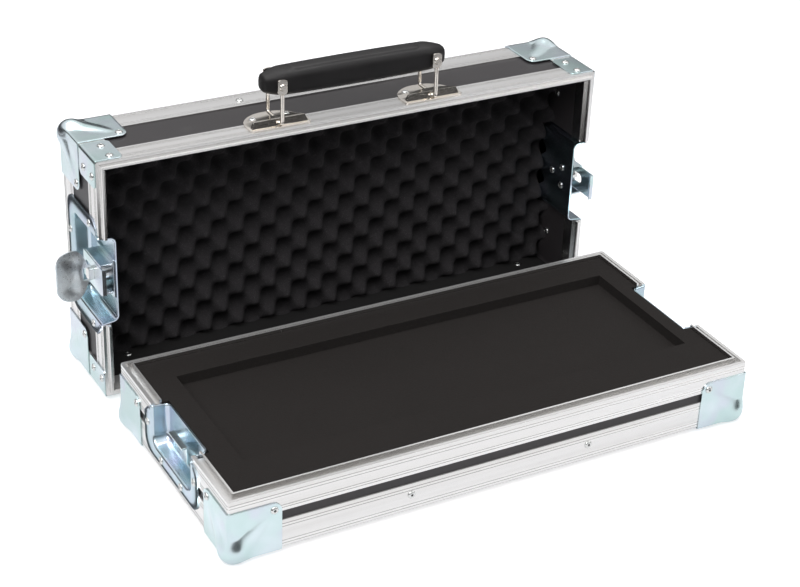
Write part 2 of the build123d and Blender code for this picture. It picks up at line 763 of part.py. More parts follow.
# ---- the lid: as it stands, its front side is below and its rear side on top ---------------------
LID_SIDES = {"front": "bottom", "right": "right", "rear": "top", "left": "left"}
finish(closing_panel(), "lid_back_panel", lid_place)
for side, lid_side in LID_SIDES.items():
    finish(side_panel(side, lid_height, lid_dish_length), f"lid_{lid_side}_panel", lid_place)
    finish(edge_angle(side, lid_height, lid_dish_length), f"lid_{lid_side}_edge", lid_place)
    finish(rim(side, lid_height, with_tongue=True), f"lid_{lid_side}_rim", lid_place)
for corner_name, corner in four_corners(ball_corner()).items():
    side, end = corner_name.split("_")
    finish(corner, f"lid_ball_corner_{LID_SIDES[side]}_{end}", lid_place)
finish(corner_posts(lid_height), "lid_corner_posts", lid_place)
finish(corner_braces(lid_height), "lid_corner_braces", lid_place)
finish(lid_foam(), "lid_foam", lid_place)
finish(lid_rivets(), "lid_rivets", lid_place)
for end, piece in left_and_right(dish(lid_height, lid_dish_length)):
    finish(piece, f"lid_dish_{end}", lid_place)
for end, piece in left_and_right(latch_base()):
    finish(piece, f"latch_base_{end}", lid_place)

# ---- the latches: the right one is let out and folded, the left one drawn in and unfolded --------
wing_pin_axis = Axis((dish_floor_x + pin_level, 0, lid_height - spindle_back), (0, 1, 0))
for end, piece in left_and_right(latch_spindle()):
    finish(piece, f"latch_spindle_{end}", lid_place)
wing = latch_wing()
wing_out_right = wing.rotate(wing_pin_axis, -90)
finish(wing, "latch_wing_right", lid_place)
finish(mirror(wing_out_right, about=Plane.YZ), "latch_wing_left", lid_place)
hook = latch_hook()
finish(hook, "latch_hook_right", lid_place)
finish(mirror(hook.moved(Location((0, 0, -hook_travel))), about=Plane.YZ), "latch_hook_left", lid_place)

# ---- the handle ---------------------------------------------------------------------------------
for end, x in (("left", -arm_spacing / 2), ("right", arm_spacing / 2)):
    finish(handle_foot().moved(Location((x, 0, 0))), f"handle_foot_{end}", lid_place)
    finish(handle_loop().moved(Location((x, 0, 0))), f"handle_loop_{end}", lid_place)
finish(handle_grip(), "handle_grip", lid_place)
finish(grip_pins(), "handle_pins", lid_place)
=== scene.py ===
import math

import bmesh
import bpy
import numpy as np
from mathutils import Matrix, Vector


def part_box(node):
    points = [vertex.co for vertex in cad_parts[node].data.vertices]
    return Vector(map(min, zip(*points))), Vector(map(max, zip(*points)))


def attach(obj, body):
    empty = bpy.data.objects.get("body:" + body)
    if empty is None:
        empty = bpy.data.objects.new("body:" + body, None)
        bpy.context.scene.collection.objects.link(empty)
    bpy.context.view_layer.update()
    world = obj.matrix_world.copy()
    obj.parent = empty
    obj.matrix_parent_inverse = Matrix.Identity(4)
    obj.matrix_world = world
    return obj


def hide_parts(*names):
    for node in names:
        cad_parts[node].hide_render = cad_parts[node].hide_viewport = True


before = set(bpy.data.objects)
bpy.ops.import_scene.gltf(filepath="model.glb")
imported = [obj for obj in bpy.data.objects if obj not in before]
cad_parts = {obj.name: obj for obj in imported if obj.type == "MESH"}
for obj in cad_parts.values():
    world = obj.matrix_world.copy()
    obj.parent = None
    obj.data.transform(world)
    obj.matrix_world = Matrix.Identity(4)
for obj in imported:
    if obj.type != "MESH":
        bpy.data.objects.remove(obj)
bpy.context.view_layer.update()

MM = 0.001

# ---- Camera ------------------------------------------------------------------------------------
# It stands in front of the tray, to the left and above, about as far off as a person at a bench,
# with a long lens, and it is tilted a little.
camera_place = Vector((-0.77960, -1.40882, 1.01090))
camera_yaw, camera_pitch, camera_roll = (math.radians(a) for a in (29.291, 29.141, 2.249))
ahead = Vector((
    math.sin(camera_yaw) * math.cos(camera_pitch),
    math.cos(camera_yaw) * math.cos(camera_pitch),
    -math.sin(camera_pitch),
))
level = Vector((math.cos(camera_yaw), -math.sin(camera_yaw), 0))
upright = level.cross(ahead)
across = math.cos(camera_roll) * level + math.sin(camera_roll) * upright
above = math.cos(camera_roll) * upright - math.sin(camera_roll) * level
lens = bpy.data.cameras.new("camera")
lens.lens = 84.91
lens.sensor_width = 36
lens.clip_start, lens.clip_end = 0.01, 50
camera = bpy.data.objects.new("camera", lens)
camera.matrix_world = Matrix((across, above, -ahead)).transposed().to_4x4()
camera.location = camera_place
bpy.context.scene.collection.objects.link(camera)
bpy.context.scene.camera = camera
bpy.context.scene.view_settings.view_transform = "Standard"


# ---- Table and light ---------------------------------------------------------------------------
# The case stands on a round white table that runs out into a white surround. One large soft light
# hangs over the left shoulder, a weaker one fills from the right and a broad one hangs overhead.
class Wire:
    """A value in a node tree: sums, products and comparisons of wires add Math nodes."""

    def __init__(self, graph, socket):
        self.graph = graph
        self.socket = socket

    def vector(self, operation, *values):
        sockets = dict(enumerate((self, *values)))
        return self.graph.node("ShaderNodeVectorMath", {"operation": operation}, sockets)

    def part(self, axis):
        return self.graph.node("ShaderNodeSeparateXYZ", {}, {0: self}, out="XYZ".index(axis))

    def __add__(self, other):
        return self.graph.math("ADD", self, other)

    def __sub__(self, other):
        return self.graph.math("SUBTRACT", self, other)

    def __rsub__(self, other):
        return self.graph.math("SUBTRACT", other, self)

    def __mul__(self, other):
        return self.graph.math("MULTIPLY", self, other)

    def __truediv__(self, other):
        return self.graph.math("DIVIDE", self, other)

    def __pow__(self, other):
        return self.graph.math("POWER", self, other)

    def __gt__(self, other):
        return self.graph.math("GREATER_THAN", self, other)

    def __lt__(self, other):
        return self.graph.math("LESS_THAN", self, other)

    __radd__ = __add__
    __rmul__ = __mul__


class Graph:
    """A node tree under construction."""

    def __init__(self, tree):
        self.tree = tree

    def node(self, kind, settings, sockets, out=0):
        made = self.tree.nodes.new(kind)
        for name, value in settings.items():
            if name == "stops":
                ramp = made.color_ramp.elements
                while len(ramp) < len(value):
                    ramp.new(0.5)
                for stop, (place, shade) in zip(ramp, value):
                    stop.position = place
                    stop.color = (*shade, 1) if isinstance(shade, tuple) else (shade, shade, shade, 1)
            else:
                setattr(made, name, value)
        for key, value in sockets.items():
            if isinstance(value, Wire):
                self.tree.links.new(value.socket, made.inputs[key])
            elif value is not None:
                made.inputs[key].default_value = value
        return Wire(self, made.outputs[out])

    def math(self, operation, *values):
        return self.node("ShaderNodeMath", {"operation": operation}, dict(enumerate(values)))

    def blend(self, share, first, second):
        """A colour between two others."""
        colours = [(*c, 1) if isinstance(c, tuple) else c for c in (first, second)]
        sockets = {0: share, 6: colours[0], 7: colours[1]}
        return self.node("ShaderNodeMix", {"data_type": "RGBA"}, sockets, out=2)

    def between(self, value, low, high, first=0.0, second=1.0):
        """Remaps a value from one range to another and holds it there."""
        return self.node("ShaderNodeMapRange", {}, {0: value, 1: low, 2: high, 3: first, 4: second})

    def noise(self, spot, scale, detail=2.0, roughness=0.5):
        sockets = {"Vector": spot, "Scale": scale, "Detail": detail, "Roughness": roughness}
        return self.node("ShaderNodeTexNoise", {}, sockets)

    def ray_kinds(self):
        """Whether a ray comes from the camera, from a mirroring face or through a clear one."""
        return [self.node("ShaderNodeLightPath", {}, {}, out=f"Is {kind} Ray")
                for kind in ("Camera", "Glossy", "Transmission")]


table_radius = 1.6
table_glow_seen = 0.60
table_glow_mirrored = 0.25
table_mesh = bmesh.new()
bmesh.ops.create_circle(table_mesh, cap_ends=True, radius=table_radius, segments=96)
table_data = bpy.data.meshes.new("table")
table_mesh.to_mesh(table_data)
table_mesh.free()
table = bpy.data.objects.new("table", table_data)
bpy.context.scene.collection.objects.link(table)

table_white = bpy.data.materials.new("table_white")
table_white.use_nodes = True
table_white.node_tree.nodes.clear()
g = Graph(table_white.node_tree)
seen, mirrored, through = g.ray_kinds()
spot = g.node("ShaderNodeTexCoord", {}, {}, out="Object")
# Metal that mirrors the table's front or left margin sees it in the dark of the room.
in_front = g.between(spot.part("Y"), -0.58, -0.45, 1.0, 0.0)
to_the_left = g.between(spot.part("X"), -1.0, -0.85, 1.0, 0.0)
far = g.math("MAXIMUM", in_front, to_the_left)
matt = g.node("ShaderNodeBsdfDiffuse", {}, {
    "Color": g.blend(far * mirrored, (0.80, 0.80, 0.81), (0.02, 0.02, 0.02))})
glow = g.node("ShaderNodeEmission", {}, {
    "Color": (1, 1, 1, 1), "Strength": (
        seen * table_glow_seen + (mirrored + through) * (1.0 - far) * table_glow_mirrored)})
both = g.node("ShaderNodeAddShader", {}, {0: matt, 1: glow})
surface = table_white.node_tree.nodes.new("ShaderNodeOutputMaterial")
table_white.node_tree.links.new(both.socket, surface.inputs[0])
table_data.materials.append(table_white)

surround = bpy.data.worlds.new("surround")
surround.use_nodes = True
surround.node_tree.nodes.clear()
bpy.context.scene.world = surround
g = Graph(surround.node_tree)
seen, mirrored, through = g.ray_kinds()
towards = g.node("ShaderNodeTexCoord", {}, {}, out="Generated")
height = towards.part("Z")
room_stops = [(0.30, 0.95), (0.43, 0.70), (0.48, 0.05), (0.65, 0.04), (0.71, 0.78), (0.78, 0.95),
              (1.0, 1.0)]
room = g.node("ShaderNodeValToRGB", {"stops": room_stops}, {0: height * 0.5 + 0.5})
mirror_share = g.math("MAXIMUM", mirrored, through)
ambient = g.blend(mirror_share, (0.25, 0.255, 0.27), room)
seen_colour = g.blend(seen, ambient, (1.0, 1.0, 1.0))
sky = surround.node_tree.nodes.new("ShaderNodeBackground")
surround.node_tree.links.new(seen_colour.socket, sky.inputs["Color"])
sky_out = surround.node_tree.nodes.new("ShaderNodeOutputWorld")
surround.node_tree.links.new(sky.outputs[0], sky_out.inputs[0])

look_at = Vector((0, 0, 0.1))
for name, place, size, power in (
    ("key_light", (-1.3, -1.2, 2.1), 1.3, 36),
    ("fill_light", (1.9, -1.3, 1.1), 1.2, 9),
    ("top_light", (0.1, 0.5, 2.3), 1.8, 30),
):
    lamp = bpy.data.lights.new(name, "AREA")
    lamp.shape = "SQUARE"
    lamp.size = size
    lamp.energy = power
    lamp_object = bpy.data.objects.new(name, lamp)
    lamp_object.location = place
    lamp_object.rotation_euler = (look_at - Vector(place)).to_track_quat("-Z", "Y").to_euler()
    bpy.context.scene.collection.objects.link(lamp_object)


# ---- Plywood panels ----------------------------------------------------------------------------
# Seven-millimetre plywood faced with black laminate on both sides. The closing panel is one sheet
# and the four side panels stand on it, held by the extrusions.
class Finish(Graph):
    """A material on one principled shader."""

    def __init__(self, name, **sockets):
        self.material = bpy.data.materials.new(name)
        self.material.use_nodes = True
        super().__init__(self.material.node_tree)
        self.shader = self.tree.nodes["Principled BSDF"]
        self.spot = self.node("ShaderNodeTexCoord", {}, {}, out="Object")
        self.feed(**sockets)

    def feed(self, **sockets):
        """Sets or links the shader's sockets; spaces in their names are written as underscores."""
        for name, value in sockets.items():
            socket = self.shader.inputs[name.replace("_", " ")]
            if isinstance(value, Wire):
                self.tree.links.new(value.socket, socket)
            else:
                socket.default_value = (*value, 1) if isinstance(value, tuple) else value

    def bump(self, height, depth, strength=1.0):
        """Feeds a height to the normal; depth is in metres."""
        sockets = {"Height": height, "Distance": depth, "Strength": strength}
        self.feed(Normal=self.node("ShaderNodeBump", {}, sockets))

    def put_on(self, *pieces):
        for piece in pieces:
            piece.data.materials.clear()
            piece.data.materials.append(self.material)


laminate_dark = (0.024, 0.021, 0.0225)
laminate_light = (0.036, 0.032, 0.034)
laminate = Finish("black_laminate", Specular_IOR_Level=0.45)
cloud = laminate.noise(laminate.spot, 14, 5)
pebble = laminate.noise(laminate.spot, 2600, 2)
rub = laminate.between(laminate.noise(laminate.spot.vector("MULTIPLY", (40, 40, 240)), 1, 4), 0.62, 0.72)
tone = laminate.blend(cloud, laminate_dark, laminate_light)
tone = laminate.blend(rub * 0.25, tone, (0.075, 0.072, 0.07))
# Inside the lid the laminate's colour is darkened to near black and made rougher: painted shade where little
# light gets in.
lid_inside_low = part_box("lid_bottom_panel")[0] + Vector((0.012, -0.001, 0.003))
lid_inside_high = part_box("lid_top_panel")[1] - Vector((0.012, 0.004, 0.003))
painted_interior_shade = 1.0
for axis, low, high in zip("XYZ", lid_inside_low, lid_inside_high):
    painted_interior_shade = painted_interior_shade * (laminate.spot.part(axis) > low) * (laminate.spot.part(axis) < high)
laminate.feed(Base_Color=laminate.blend(painted_interior_shade, tone, (0.004, 0.0034, 0.0036)),
              Roughness=laminate.between(pebble, 0.3, 0.7, 0.36, 0.5) + rub * 0.08 + painted_interior_shade * 0.45)
laminate.bump(pebble, 0.00012, 0.35)
laminate.put_on(*(node for name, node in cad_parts.items() if name.endswith("_panel")))


# ---- Aluminium extrusions ----------------------------------------------------------------------
# Mill-finish edge angles and rims, mitred at the corners, with flutes along them. Each bar was
# drawn along its own length, so its fine lines run that way. The tray's rim has the groove.
def extruded(name, lengthwise):
    """Bare aluminium with draw lines along one axis."""
    metal = Finish(name, Specular_IOR_Level=0.3)
    fine = [700.0, 700.0, 700.0]
    fine[lengthwise] = 5.0
    broad = [130.0, 130.0, 130.0]
    broad[lengthwise] = 1.6
    lines = metal.noise(metal.spot.vector("MULTIPLY", tuple(fine)), 1, 3, 0.6)
    bands = metal.noise(metal.spot.vector("MULTIPLY", tuple(broad)), 1, 2)
    smear = metal.noise(metal.spot, 9, 3)
    shade = metal.between(bands, 0.3, 0.7, 0.0, 1.0)
    bright = metal.blend(shade, (0.68, 0.67, 0.66), (0.80, 0.795, 0.79))
    nick = metal.between(metal.noise(metal.spot, 420, 3, 0.7), 0.70, 0.76)
    raised = metal.node("ShaderNodeNewGeometry", {}, {}, out="Normal").part("Z")
    metal.feed(Metallic=metal.between(raised, 0.3, 0.9, 1.0, 0.66),
               Base_Color=metal.blend(nick * 0.35, metal.blend(smear * 0.25, bright, (0.72, 0.71, 0.69)),
                                      (0.50, 0.49, 0.48)),
               Roughness=metal.between(lines, 0.25, 0.75, 0.20, 0.27) + nick * 0.1)
    metal.bump(lines, 0.000005, 0.3)
    return metal


bars = {name: node for name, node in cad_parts.items() if name.endswith(("_edge", "_rim"))}
along_x = extruded("aluminium_along_case", 0)
along_y = extruded("aluminium_across_case", 1)
along_z = extruded("aluminium_upright", 2)
for name, node in bars.items():
    if "left" in name or "right" in name:
        (along_y if name.startswith("tray") else along_z).put_on(node)
    else:
        along_x.put_on(node)
along_y.put_on(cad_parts["lid_corner_posts"])


# ---- Ball corners ------------------------------------------------------------------------------
# Eight pressings of zinc-plated sheet. Each covers three faces of a corner, with a ball drawn out
# at the vertex that flares into the plates, and is riveted at the three rounded outer corners.
def plated(name, ice=(0.68, 0.77, 0.81), teal=(0.56, 0.70, 0.70), violet=(0.62, 0.65, 0.74)):
    """Blue-passivated zinc with its faint drifting tints."""
    metal = Finish(name, Metallic=1.0)
    drift = metal.noise(metal.spot, 24, 2)
    haze = metal.noise(metal.spot.vector("ADD", (0.31, 0.17, 0.53)), 31, 2)
    grain = metal.noise(metal.spot, 900, 3, 0.65)
    tint = metal.blend(metal.between(drift, 0.38, 0.62), teal, ice)
    tint = metal.blend(metal.between(haze, 0.50, 0.68) * 0.7, tint, violet)
    dull = metal.between(metal.noise(metal.spot, 260, 4, 0.7), 0.66, 0.74)
    metal.feed(Base_Color=metal.blend(dull * 0.18, tint, (0.42, 0.46, 0.47)),
               Roughness=metal.between(grain, 0.3, 0.7, 0.235, 0.255) + dull * 0.03)
    return metal


sheet = 1.2
corner_reach = 51.0
corner_round = 9.0
ball_radius = 14.0
ball_stand = 6.0
flare = 7.5
bend_power = 10.0
rib_length = 44.0
rib_half_width = 12.4
rib_rise = 0.62
zinc = plated("zinc_plate")


def mesh_piece(name, points, faces, finish, smooth_below=40):
    """Object from points in metres, smooth except across sharp folds."""
    data = bpy.data.meshes.new(name)
    data.from_pydata([tuple(p) for p in points], [], faces)
    tidy = bmesh.new()
    tidy.from_mesh(data)
    bmesh.ops.remove_doubles(tidy, verts=tidy.verts, dist=1e-6)
    bmesh.ops.dissolve_degenerate(tidy, edges=tidy.edges, dist=1e-7)
    tidy.to_mesh(data)
    tidy.free()
    data.shade_smooth()
    data.set_sharp_from_angle(angle=math.radians(smooth_below))
    piece = bpy.data.objects.new(name, data)
    bpy.context.scene.collection.objects.link(piece)
    finish.put_on(piece)
    return piece


def thicken(piece, thickness, offset=-1.0, lip=0.0):
    """Gives a skin its sheet thickness, and its cut edge a small radius."""
    wall = piece.modifiers.new("sheet", "SOLIDIFY")
    wall.thickness = thickness
    wall.offset = offset
    wall.use_quality_normals = True
    if lip:
        edge = piece.modifiers.new("edge", "BEVEL")
        edge.width = lip
        edge.segments = 2
        edge.limit_method = "ANGLE"
        edge.angle_limit = math.radians(50)
    return piece


def rib(a, b):
    """Height of the pointed rib on a plate's diagonal, as a share of the ball's."""
    left = 1 - (a + b) / math.sqrt(2) / rib_length
    if left <= 0:
        return 0.0
    off = abs(a - b) / math.sqrt(2) / (rib_half_width * left ** 0.5)
    return rib_rise * left ** 0.7 * max(1 - off * off, 0) ** 1.2


def corner_grid():
    """Points and faces of the outer skin, in millimetres from the extrusions' vertex."""
    inset = ball_radius - ball_stand
    steps = np.concatenate([np.linspace(0, inset, 15)[:-1], np.linspace(inset, 30, 24)[:-1],
                            np.linspace(30, corner_reach, 10)])
    straight = corner_reach - corner_round
    points, faces = [], []
    for face in range(3):
        start = len(points)
        for u in steps:
            for v in steps:
                du, dv = (u - straight) / corner_round, (v - straight) / corner_round
                if du > 0 and dv > 0:
                    du, dv = du * math.sqrt(1 - dv * dv / 2), dv * math.sqrt(1 - du * du / 2)
                    flat = (straight + du * corner_round, straight + dv * corner_round)
                else:
                    flat = (u, v)
                foot = np.roll(np.array([0.0, *flat]), face)
                core = np.maximum(foot, inset)
                out = (foot - core) / np.linalg.norm(foot - core)
                square = (inset + sheet) / np.sum(np.abs(out) ** bend_power) ** (1 / bend_power)
                a, b = (v for i, v in enumerate(core - inset) if i != face)
                share = 1 - (1 - math.exp(-(a * a + b * b) / flare ** 2)) * (1 - rib(a, b))
                points.append(core + out * (square + (ball_radius - square) * share))
        n = len(steps)
        corners = [start + i * n + j for i in range(n - 1) for j in range(n - 1)]
        faces += [(c, c + 1, c + n + 1, c + n) for c in corners]
    return np.array(points), faces


def middle_of(names):
    """Mean of the middles of some nodes' boxes."""
    boxes = [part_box(name) for name in names]
    return sum(((low + high) / 2 for low, high in boxes), Vector()) / len(boxes)


skin_points, skin_faces = corner_grid()
first = [skin_points[i] for i in skin_faces[-1]]
if np.dot(np.cross(first[1] - first[0], first[2] - first[0]), np.array([0, 0, -1.0])) < 0:
    skin_faces = [face[::-1] for face in skin_faces]
opening_middle = {half: middle_of([n for n in bars if n.startswith(half) and n.endswith("_rim")])
                  for half in ("tray", "lid")}
for name in [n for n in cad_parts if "_ball_corner_" in n]:
    half = name.split("_")[0]
    low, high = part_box(name)
    inward = [1 if (low[i] + high[i]) / 2 < opening_middle[half][i] else -1 for i in range(3)]
    vertex = [low[i] + ball_stand * MM if inward[i] > 0 else high[i] - ball_stand * MM for i in range(3)]
    placed = np.array(vertex) + skin_points * MM * np.array(inward)
    turned = skin_faces if inward[0] * inward[1] * inward[2] > 0 else [face[::-1] for face in skin_faces]
    corner = thicken(mesh_piece(f"{name}_pressing", placed, turned, zinc, 60), sheet * MM, lip=0.00025)
    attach(corner, half)
    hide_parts(name)


# ---- Corner braces -----------------------------------------------------------------------------
# Small folded plates of the same zinc-plated sheet that tie the lid's mitred rims together, two
# rivets on each leaf. Their cut edges are slightly rounded.
def eased(name, width, finish, body, segments=2):
    """A copy of a solid with its edges rounded, in the solid's place."""
    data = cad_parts[name].data.copy()
    tidy = bmesh.new()
    tidy.from_mesh(data)
    bmesh.ops.remove_doubles(tidy, verts=tidy.verts, dist=2e-6)
    bmesh.ops.dissolve_limit(tidy, angle_limit=math.radians(1.5), verts=tidy.verts, edges=tidy.edges)
    tidy.to_mesh(data)
    tidy.free()
    data.shade_smooth()
    data.set_sharp_from_angle(angle=math.radians(38))
    piece = bpy.data.objects.new(f"{name}_eased", data)
    bpy.context.scene.collection.objects.link(piece)
    edge = piece.modifiers.new("edge", "BEVEL")
    edge.width = width
    edge.segments = segments
    edge.limit_method = "ANGLE"
    edge.angle_limit = math.radians(40)
    edge.use_clamp_overlap = True
    finish.put_on(piece)
    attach(piece, body)
    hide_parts(name)
    return piece


eased("lid_corner_braces", 0.00022, zinc, "lid")


# ---- Dishes ------------------------------------------------------------------------------------
# Pressed pans of zinc-plated sheet let into both ends of both halves, open towards the other half,
# so that nothing of the latches stands out. A flange with two ears carries the rivets.
dish_half_width = 45.55
dish_depth = 16.0
dish_corner = 11.0
dish_lengths = {"tray": 42.0, "lid": 72.0}
flange_reach = 62.75
flange_below = 12.0
flange_corner = 14.0
ear_drop = 7.0
lip_bend = 3.0
floor_bend = 5.0
wall_draft = 1.2
dish_start = 1.5
open_level = {"tray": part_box("tray_dish_left")[1].z + dish_start * MM,
              "lid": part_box("lid_dish_left")[0].y - dish_start * MM}
pan_blue = plated("zinc_dish", (0.56, 0.65, 0.72), (0.42, 0.56, 0.60), (0.52, 0.55, 0.68))


def pan_path(length):
    """Points down one side of the pan, round its corner and to its middle, each with its normal
    and the point of the flange's outline beside it."""
    w, r = dish_half_width, dish_corner
    rows = [((-w, b), (-1, 0), (-w - lip_bend, b)) for b in (-dish_start, -4, -ear_drop)]
    rows.append(((-w, -ear_drop - 0.02), (-1, 0), (-flange_reach + ear_drop, -ear_drop)))
    for b in np.arange(-2 * ear_drop, -length + r + 1, -4):
        rows.append(((-w, b), (-1, 0), (-flange_reach, b)))
    for angle in np.linspace(math.pi, 1.5 * math.pi, 13):
        c, s = math.cos(angle), math.sin(angle)
        rows.append(((-w + r + r * c, -length + r + r * s), (c, s),
                     (-flange_reach + flange_corner + flange_corner * c,
                      -length - flange_below + flange_corner + flange_corner * s)))
    for a in np.linspace(-w + r, 0, 9)[1:]:
        outline = (a * (flange_reach - flange_corner) / (w - r), -length - flange_below)
        rows.append(((a, -length), (0, -1), outline))
    return rows + [((-p[0], p[1]), (-n[0], n[1]), (-q[0], q[1])) for p, n, q in rows[-2::-1]]


def pan_profile():
    """Offsets outwards from the pan's outline and heights above the end's face."""
    rows = []
    for angle in np.linspace(math.pi / 2, math.pi, 7):
        rows.append((lip_bend + lip_bend * math.cos(angle), sheet - lip_bend + lip_bend * math.sin(angle)))
    for angle in np.linspace(0, -math.pi / 2, 8):
        rows.append((-wall_draft - floor_bend + floor_bend * math.cos(angle),
                     -dish_depth + floor_bend + floor_bend * math.sin(angle)))
    return rows


def face_outward(piece, side=0):
    """Turns a closed piece's faces outwards; an open one's widest face is turned to a side of x."""
    shell = bmesh.new()
    shell.from_mesh(piece.data)
    bmesh.ops.recalc_face_normals(shell, faces=shell.faces)
    widest = max(shell.faces, key=lambda f: abs(f.normal.x) * f.calc_area())
    if widest.normal.x * side < 0:
        bmesh.ops.reverse_faces(shell, faces=shell.faces)
    shell.to_mesh(piece.data)
    shell.free()


def pan(half, end):
    path = pan_path(dish_lengths[half])
    profile = pan_profile()
    loops = [[(q[0], q[1], sheet) for p, n, q in path]]
    loops += [[(p[0] + n[0] * o, p[1] + n[1] * o, h) for p, n, q in path] for o, h in profile]
    count = len(path)
    points = [p for loop in loops for p in loop]
    faces = [(i * count + j, i * count + j + 1, (i + 1) * count + j + 1, (i + 1) * count + j)
             for i in range(len(loops) - 1) for j in range(count - 1)]
    inner = len(points) - count
    across_steps = 16
    strips = []
    for j in range(count // 2 + 1):
        a, b = np.array(points[inner + j]), np.array(points[inner + count - 1 - j])
        strips.append(list(range(len(points), len(points) + across_steps + 1)))
        points += [tuple(a + (b - a) * k / across_steps) for k in range(across_steps + 1)]
    faces += [(strips[j][k], strips[j][k + 1], strips[j + 1][k + 1], strips[j + 1][k])
              for j in range(len(strips) - 1) for k in range(across_steps)]
    side = 1 if end == "right" else -1
    face_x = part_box(f"{half}_{end}_edge")[1 if side > 0 else 0].x
    middle = opening_middle[half]
    local = np.array(points) * MM
    out_x = face_x + side * local[:, 2]
    if half == "tray":
        placed = np.stack([out_x, middle.y + local[:, 0], open_level[half] + local[:, 1]], 1)
    else:
        placed = np.stack([out_x, open_level[half] - local[:, 1], middle.z + local[:, 0]], 1)
    piece = mesh_piece(f"{half}_dish_{end}_pressing", placed, faces, pan_blue, 50)
    face_outward(piece, side)
    thicken(piece, sheet * MM, lip=0.00025)
    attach(piece, half)
    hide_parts(f"{half}_dish_{end}")


for half in ("tray", "lid"):
    for end in ("left", "right"):
        pan(half, end)


# ---- Catches -----------------------------------------------------------------------------------
# A strip of plated steel in each of the tray's dishes, folded twice so that its upper part stands
# off the floor and ends in the lip that the lid's hook draws over.
for end in ("left", "right"):
    eased(f"tray_catch_{end}", 0.0003, zinc, "tray")


# ---- Butterfly latches -------------------------------------------------------------------------
# A base on the dish floor, a spindle with a cam that draws the hook plate in, and a stamped wing
# on a pin that folds flat. The left latch stands open, the right one is folded.
bright = Finish("turned_steel", Metallic=1.0)
turning = bright.noise(bright.spot.vector("MULTIPLY", (1500, 900, 900)), 1, 2)
bright.feed(Base_Color=bright.blend(turning, (0.66, 0.67, 0.66), (0.80, 0.80, 0.78)),
            Roughness=bright.between(turning, 0.3, 0.7, 0.14, 0.24))
wing_grey = Finish("wing_plate", Metallic=1.0)
satin = wing_grey.noise(wing_grey.spot, 700, 3, 0.6)
cloud = wing_grey.noise(wing_grey.spot, 45, 2)
wing_grey.feed(Base_Color=wing_grey.blend(cloud, (0.76, 0.80, 0.83), (0.82, 0.85, 0.87)),
               Roughness=wing_grey.between(satin, 0.3, 0.7, 0.27, 0.29))

wing_half_width = 27.0
wing_reach = 33.0
wing_thickness = 3.0
wing_round = 15.0
wing_notch_half = 6.5
wing_notch_reach = 6.0


def wing(end):
    """Stamped plate with two lobes that are slightly dished, notched round the spindle's yoke."""
    body = f"latch_wing_{end}"
    low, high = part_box(body)
    outs = np.concatenate([[-1.5, 0], np.linspace(1, wing_notch_reach, 5), np.linspace(7, wing_reach, 20)])
    ups = np.concatenate([-np.linspace(wing_half_width, wing_notch_half, 16),
                          np.linspace(-wing_notch_half, wing_notch_half, 9)[1:-1],
                          np.linspace(wing_notch_half, wing_half_width, 16)])
    points, index = [], {}
    for i, p in enumerate(outs):
        for j, q in enumerate(ups):
            far, top = p, q
            dp = (p - (wing_reach - wing_round)) / wing_round
            dq = (abs(q) - (wing_half_width - wing_round)) / wing_round
            if dp > 0 and dq > 0:
                far = wing_reach - wing_round + wing_round * dp * math.sqrt(1 - dq * dq / 2)
                rounded = wing_half_width - wing_round + wing_round * dq * math.sqrt(1 - dp * dp / 2)
                top = math.copysign(rounded, q)
            along = min(max((far - 1) / 13, 0), 1)
            waist = 9 + (wing_half_width - 9) * math.sin(along * math.pi / 2) ** 0.8
            if abs(top) > wing_notch_half:
                spread = (abs(top) - wing_notch_half) / (wing_half_width - wing_notch_half)
                top = math.copysign(wing_notch_half + spread * (waist - wing_notch_half), top)
            lobe = math.exp(-((far - 17) / 7) ** 2 - ((abs(top) - 15) / 5.5) ** 2)
            hub = math.exp(-((far - 9) / 5) ** 2 - (top / 8) ** 2)
            index[i, j] = len(points)
            points.append((far, top, 0.7 * hub - 0.75 * lobe))
    faces = []
    for i in range(len(outs) - 1):
        for j in range(len(ups) - 1):
            middle_up = (ups[j] + ups[j + 1]) / 2
            if outs[i] < wing_notch_reach and abs(middle_up) < wing_notch_half:
                continue
            faces.append((index[i, j], index[i, j + 1], index[i + 1, j + 1], index[i + 1, j]))
    local = np.array(points) * MM
    middle = (low + high) / 2
    if end == "left":
        pin = high.x - wing_thickness * MM / 2
        placed = np.stack([pin - local[:, 0], middle.y - local[:, 2], middle.z + local[:, 1]], 1)
    else:
        pin = low.y + wing_thickness * MM / 2
        placed = np.stack([middle.x + local[:, 2], pin + local[:, 0], middle.z + local[:, 1]], 1)
    piece = mesh_piece(f"{body}_plate", placed, faces, wing_grey, 60)
    thicken(piece, (wing_thickness - 1.3) * MM, offset=0.0)
    edge = piece.modifiers.new("edge", "BEVEL")
    edge.width = 0.0008
    edge.segments = 4
    edge.limit_method = "ANGLE"
    edge.angle_limit = math.radians(50)
    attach(piece, body)
    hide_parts(body)


for end in ("left", "right"):
    eased(f"latch_base_{end}", 0.0003, zinc, "lid")
    eased(f"latch_hook_{end}", 0.0003, zinc, f"latch_hook_{end}")
    bright.put_on(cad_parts[f"latch_spindle_{end}"])
    wing(end)


# ---- Carrying handle ---------------------------------------------------------------------------
# Two nickel-plated D plates joggled over the rim hold wire loops, and the loops' flat eyes carry a
# padded grip on two rivets. The grip is wrapped in thin black leathercloth with a stitched top.
nickel = Finish("nickel_plate", Metallic=1.0)
buff = nickel.noise(nickel.spot.vector("MULTIPLY", (260, 900, 900)), 1, 3)
stain = nickel.between(nickel.noise(nickel.spot, 60, 3), 0.55, 0.72)
nickel.feed(Base_Color=nickel.blend(stain * 0.5, (0.80, 0.755, 0.70), (0.62, 0.575, 0.52)),
            Roughness=nickel.between(buff, 0.3, 0.7, 0.13, 0.22))
for end in ("left", "right"):
    eased(f"handle_foot_{end}", 0.0004, nickel, "lid", 3)
    nickel.put_on(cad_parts[f"handle_loop_{end}"])
nickel.put_on(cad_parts["handle_pins"])

